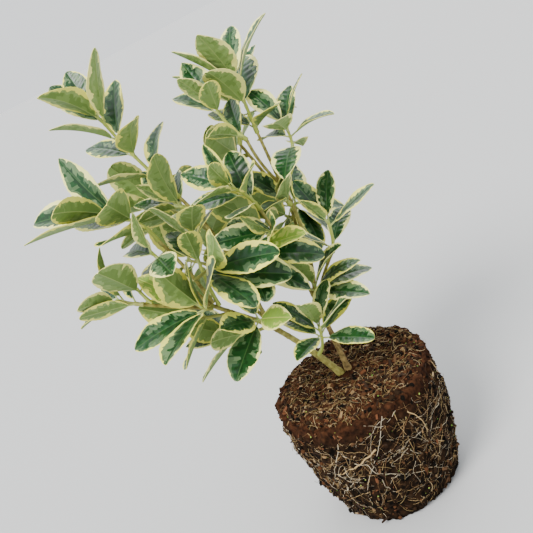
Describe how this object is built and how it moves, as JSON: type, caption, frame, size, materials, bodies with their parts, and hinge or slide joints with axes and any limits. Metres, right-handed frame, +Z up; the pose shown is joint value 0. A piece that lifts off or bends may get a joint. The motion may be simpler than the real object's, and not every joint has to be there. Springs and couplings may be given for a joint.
{
  "type": "variegated euonymus shrub on a bare root ball",
  "caption": "Young variegated evergreen euonymus shrub lifted from its pot, with leafy shoots on forked stems, standing upright on its bare root ball.",
  "frame": {"origin": "centre of the flat underside of the root ball", "axes": "+Z up along the ball's axis, +X to the right and +Y away from the viewer as the picture shows the plant, once the tilt of the hand-held plant is taken out"},
  "size_m": [0.2523, 0.2062, 0.4562],
  "materials": {
    "soil": "matt, moist, crumbly compost bound by fine roots",
    "brown_bark": "matt bark",
    "olive_bark": "satin green bark",
    "foliage": "leathery leaves, green with a cream margin"
  },
  "bodies": {
    "root": {"root_ball": "soil", "stem_brown": "brown_bark", "stem_olive": "olive_bark", "bough_low_left": "olive_bark", "bough_long_left": "olive_bark", "bough_left_upper": "olive_bark", "bough_left_front": "olive_bark", "bough_left_end": "olive_bark", "bough_mid": "olive_bark", "bough_top": "olive_bark", "bough_top_left": "olive_bark", "bough_top_right": "olive_bark", "bough_right": "olive_bark", "bough_back": "olive_bark", "bough_back_left": "olive_bark", "bough_back_high": "olive_bark", "foliage_high_left": "foliage", "foliage_mid_left": "foliage", "foliage_round_pair": "foliage", "foliage_far_left": "foliage", "foliage_front_left": "foliage", "foliage_end_left": "foliage", "foliage_low_left": "foliage", "foliage_low_mid": "foliage", "foliage_hanging": "foliage", "foliage_low_right": "foliage", "foliage_fork_right": "foliage", "foliage_right": "foliage", "foliage_top": "foliage", "foliage_top_left": "foliage", "foliage_mid": "foliage", "foliage_high_mid": "foliage", "foliage_inner_mid": "foliage", "foliage_high_right": "foliage", "foliage_inner": "foliage", "foliage_back_right": "foliage", "foliage_back_low": "foliage", "foliage_back_left": "foliage", "foliage_back_mid": "foliage", "foliage_back_high": "foliage", "foliage_back_top": "foliage", "foliage_back_far": "foliage", "foliage_left_inner": "foliage", "foliage_centre": "foliage", "foliage_low_reach": "foliage", "foliage_end_upper": "foliage", "foliage_mid_back": "foliage"}
  },
  "joints": []
}
